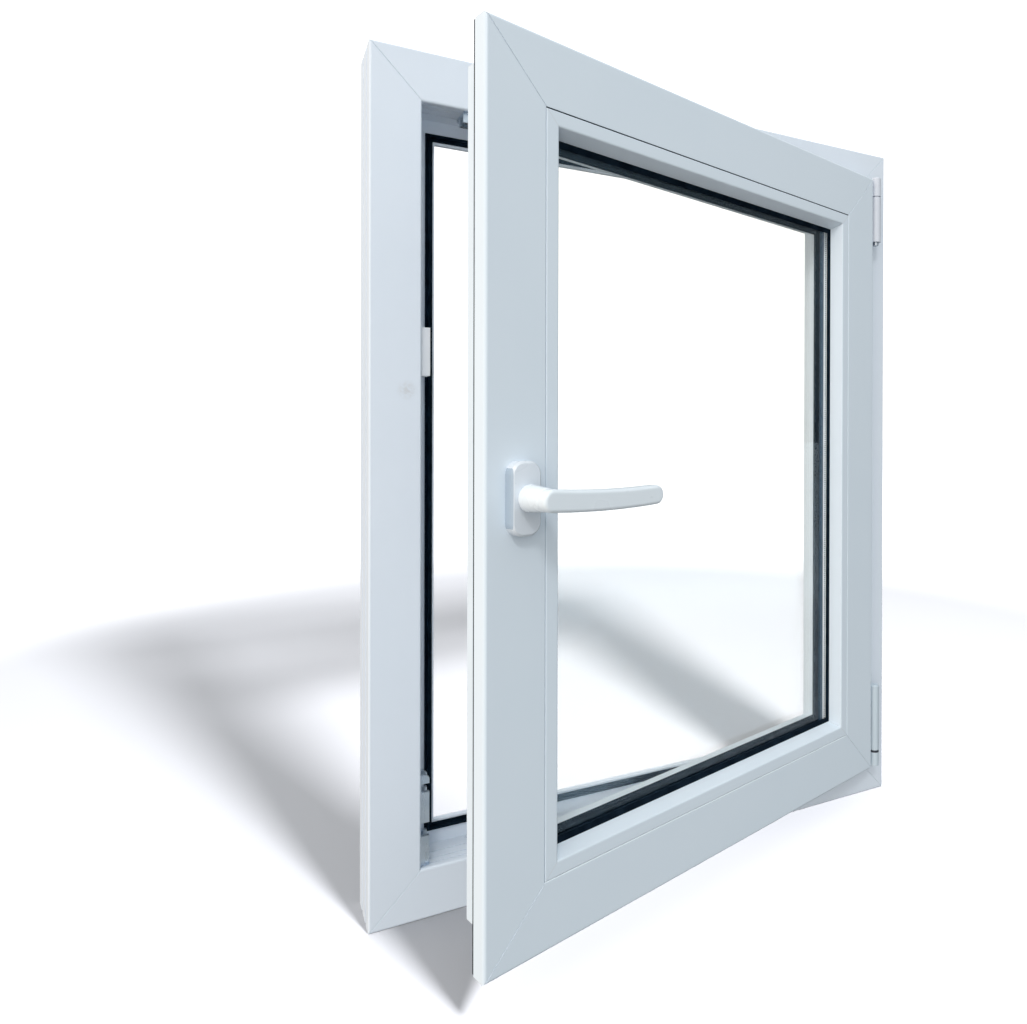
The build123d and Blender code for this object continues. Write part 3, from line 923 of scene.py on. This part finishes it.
@dataclass
class Studio:
    """The pale floor, the soft light and the camera."""

    eye: Point = (-0.46224, -0.83029, 0.50575)
    yaw: float = 0.48259
    pitch: float = -0.00369
    roll: float = 0.0026
    focal_pixels: float = 759.02
    axis_pixel: Span = (640.0, 435.67)
    image: tuple[int, int] = (1027, 1024)
    sensor: float = 36.0
    far_clip: float = 200.0
    floor_half: float = 40.0
    floor_colour: Colour = (0.485, 0.49, 0.52)
    floor_grain: float = 500.0
    floor_roughness: Span = (0.85, 0.95)
    glow_middle: Point = (0.15, 0.5, 0.0)
    glow_distances: Span = (1.25, 1.95)
    glow: float = 0.8
    shadow_lamp: Point = (0.155, -1.67, 1.94)
    shadow_lamp_aim: Point = (-0.1, 0.5, 0.0)
    shadow_lamp_size: float = 0.38
    shadow_lamp_power: float = 19.2
    no_floor_shadow: tuple[str, ...] = ("sash_bottom_rail", "bottom_bead", "outer_glass_seal", "sash_seal")
    key_lamp: Point = (-1.25, -2.35, 2.65)
    key_lamp_aim: Point = (-0.1, -0.1, 0.5)
    key_lamp_size: float = 0.50
    key_lamp_power: float = 20.0
    light_level: float = 0.58
    light_lean: Point = (-0.52, -0.16, 0.49)
    least_light: float = 0.03
    cool_light: Colour = (0.935, 1.00, 1.03)
    warm_light: Colour = (1.16, 1.06, 0.95)
    backdrop: float = 1.4

    def camera(self) -> None:
        """Places the camera by its fitted eye point, turn and focal length."""
        ahead = Vector((math.sin(self.yaw) * math.cos(self.pitch), math.cos(self.yaw) * math.cos(self.pitch),
                        math.sin(self.pitch)))
        level = Vector((math.cos(self.yaw), -math.sin(self.yaw), 0.0))
        rise = level.cross(ahead)
        across = math.cos(self.roll) * level + math.sin(self.roll) * rise
        upward = -math.sin(self.roll) * level + math.cos(self.roll) * rise
        data = bpy.data.cameras.new("camera")
        data.sensor_fit = "HORIZONTAL"
        data.sensor_width = self.sensor
        data.lens = self.focal_pixels / self.image[0] * self.sensor
        data.shift_x = -(self.axis_pixel[0] - self.image[0] / 2) / self.image[0]
        data.shift_y = -(self.image[1] / 2 - self.axis_pixel[1]) / self.image[0]
        data.clip_end = self.far_clip
        body = bpy.data.objects.new("camera", data)
        turn = Matrix((across, upward, -ahead)).transposed().to_4x4()
        body.matrix_world = Matrix.Translation(self.eye) @ turn
        bpy.context.scene.collection.objects.link(body)
        bpy.context.scene.camera = body
        LOG.info("placed the camera")

    def floor(self) -> bpy.types.Object:
        """A wide pale floor whose far part glows to white, so that no horizon shows.

        Returns:
            The floor.
        """
        half = self.floor_half
        corners = [(-half, -half, 0), (half, -half, 0), (half, half, 0), (-half, half, 0)]
        mesh = bpy.data.meshes.new("floor")
        mesh.from_pydata(corners, [], [(0, 1, 2, 3)])
        floor = bpy.data.objects.new("floor", mesh)
        bpy.context.scene.collection.objects.link(floor)
        material, shader = blank_material("pale_floor")
        tree = material.node_tree
        place = node(tree, "ShaderNodeTexCoord").outputs["Object"]
        away = distance_from(tree, place, self.glow_middle)
        grain = noise(tree, place, self.floor_grain, 2.0)
        glowing = mapped(tree, away, self.glow_distances, (0.0, self.glow))
        tree.links.new(glowing, shader.inputs["Emission Strength"])
        tree.links.new(spread(tree, grain, *self.floor_roughness), shader.inputs["Roughness"])
        shader.inputs["Base Color"].default_value = (*self.floor_colour, 1.0)
        shader.inputs["Specular IOR Level"].default_value = 0.0
        shader.inputs["Emission Color"].default_value = (1.0, 1.0, 1.0, 1.0)
        mesh.materials.append(material)
        floor.visible_diffuse = False
        floor.visible_glossy = False
        LOG.info("laid the floor")
        return floor

    def disc_lamp(self, name: str, place: Point, aim: Point, size: float, power: float) -> bpy.types.Object:
        """A round soft lamp.

        Args:
            name: the lamp's name.
            place: where it stands.
            aim: the point that it faces.
            size: its diameter.
            power: its power in watts.

        Returns:
            The lamp.
        """
        data = bpy.data.lights.new(name, "AREA")
        data.shape = "DISK"
        data.size = size
        data.energy = power
        lamp = bpy.data.objects.new(name, data)
        lamp.location = place
        lamp.rotation_euler = (Vector(aim) - Vector(place)).to_track_quat("-Z", "Y").to_euler()
        bpy.context.scene.collection.objects.link(lamp)
        LOG.info("hung the %s", name)
        return lamp

    def light_group(self, name: str, members: list[bpy.types.Object], left_out: bool) -> bpy.types.Collection:
        """A collection that says which objects one lamp treats apart.

        Args:
            name: the collection's name.
            members: its objects.
            left_out: whether the lamp passes them over, rather than serving only them.

        Returns:
            The collection.
        """
        group = bpy.data.collections.new(name)
        for member in members:
            group.objects.link(member)
        if left_out:
            for entry in group.collection_objects:
                entry.light_linking.link_state = "EXCLUDE"
        return group

    def lamps(self, floor: bpy.types.Object) -> None:
        """The lamp that throws the floor's shadow and the lamp that shapes the object.

        The first lights only the floor, with the same strength at any distance, and the pieces of
        no_floor_shadow let its light through. The second lights everything but the floor.

        Args:
            floor: the floor.
        """
        shadow = self.disc_lamp("shadow_lamp", self.shadow_lamp, self.shadow_lamp_aim, self.shadow_lamp_size,
                                self.shadow_lamp_power)
        shadow.data.use_nodes = True
        tree = shadow.data.node_tree
        steady = node(tree, "ShaderNodeLightFalloff")
        steady.inputs["Strength"].default_value = 1.0
        tree.links.new(steady.outputs["Constant"], tree.nodes["Emission"].inputs["Strength"])
        shadow.light_linking.receiver_collection = self.light_group("lit_by_shadow_lamp", [floor], False)
        clear = [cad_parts[name] for name in self.no_floor_shadow]
        shadow.light_linking.blocker_collection = self.light_group("casts_no_floor_shadow", clear, True)
        key = self.disc_lamp("key_lamp", self.key_lamp, self.key_lamp_aim, self.key_lamp_size,
                             self.key_lamp_power)
        key.light_linking.receiver_collection = self.light_group("spared_by_key_lamp", [floor], True)

    def surroundings(self) -> None:
        """A soft white tent: brighter above and to the left, and plain white behind the object.

        The strength in a direction is light_level plus the direction's dot product with light_lean, and
        the light grows warm towards the left. Rays that have met nothing rough or glossy see the plain
        backdrop.
        """
        world = bpy.data.worlds.new("tent")
        world.use_nodes = True
        bpy.context.scene.world = world
        tree = world.node_tree
        tree.nodes.clear()
        direction = node(tree, "ShaderNodeTexCoord").outputs["Generated"]
        lean = node(tree, "ShaderNodeVectorMath", operation="DOT_PRODUCT")
        lean.inputs[1].default_value = self.light_lean
        tree.links.new(direction, lean.inputs[0])
        level = math_node(tree, "ADD", lean.outputs["Value"], self.light_level)
        sideways, _, _ = axes(tree, direction)
        warmth = mapped(tree, sideways, (-1.0, 0.0), (1.0, 0.0), Ramp.EVEN)
        light = node(tree, "ShaderNodeBackground")
        tree.links.new(blend_colours(tree, warmth, self.cool_light, self.warm_light), light.inputs["Color"])
        tree.links.new(math_node(tree, "MAXIMUM", level, self.least_light), light.inputs["Strength"])
        plain = node(tree, "ShaderNodeBackground")
        plain.inputs["Color"].default_value = (1.0, 1.0, 1.0, 1.0)
        plain.inputs["Strength"].default_value = self.backdrop
        ray = node(tree, "ShaderNodeLightPath")
        bounces = math_node(tree, "ADD", ray.outputs["Diffuse Depth"], ray.outputs["Glossy Depth"])
        mix = node(tree, "ShaderNodeMixShader")
        tree.links.new(math_node(tree, "LESS_THAN", bounces, 0.5), mix.inputs[0])
        tree.links.new(light.outputs["Background"], mix.inputs[1])
        tree.links.new(plain.outputs["Background"], mix.inputs[2])
        output = node(tree, "ShaderNodeOutputWorld")
        tree.links.new(mix.outputs["Shader"], output.inputs["Surface"])
        LOG.info("put up the %s", world.name)

    def build(self) -> None:
        """Sets up the camera, the floor and the light."""
        bpy.context.scene.view_settings.view_transform = "Standard"
        self.camera()
        self.lamps(self.floor())
        self.surroundings()


def main() -> None:
    """Builds every part of the scene."""
    logging.basicConfig(level=logging.INFO, format="%(name)s: %(message)s")
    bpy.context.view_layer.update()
    Studio().build()
    for assembly in (FixedFrame(), OpenSash(), GlassUnit(), Fittings()):
        assembly.dress()
    Screws().build()


if __name__ == "__main__":
    main()
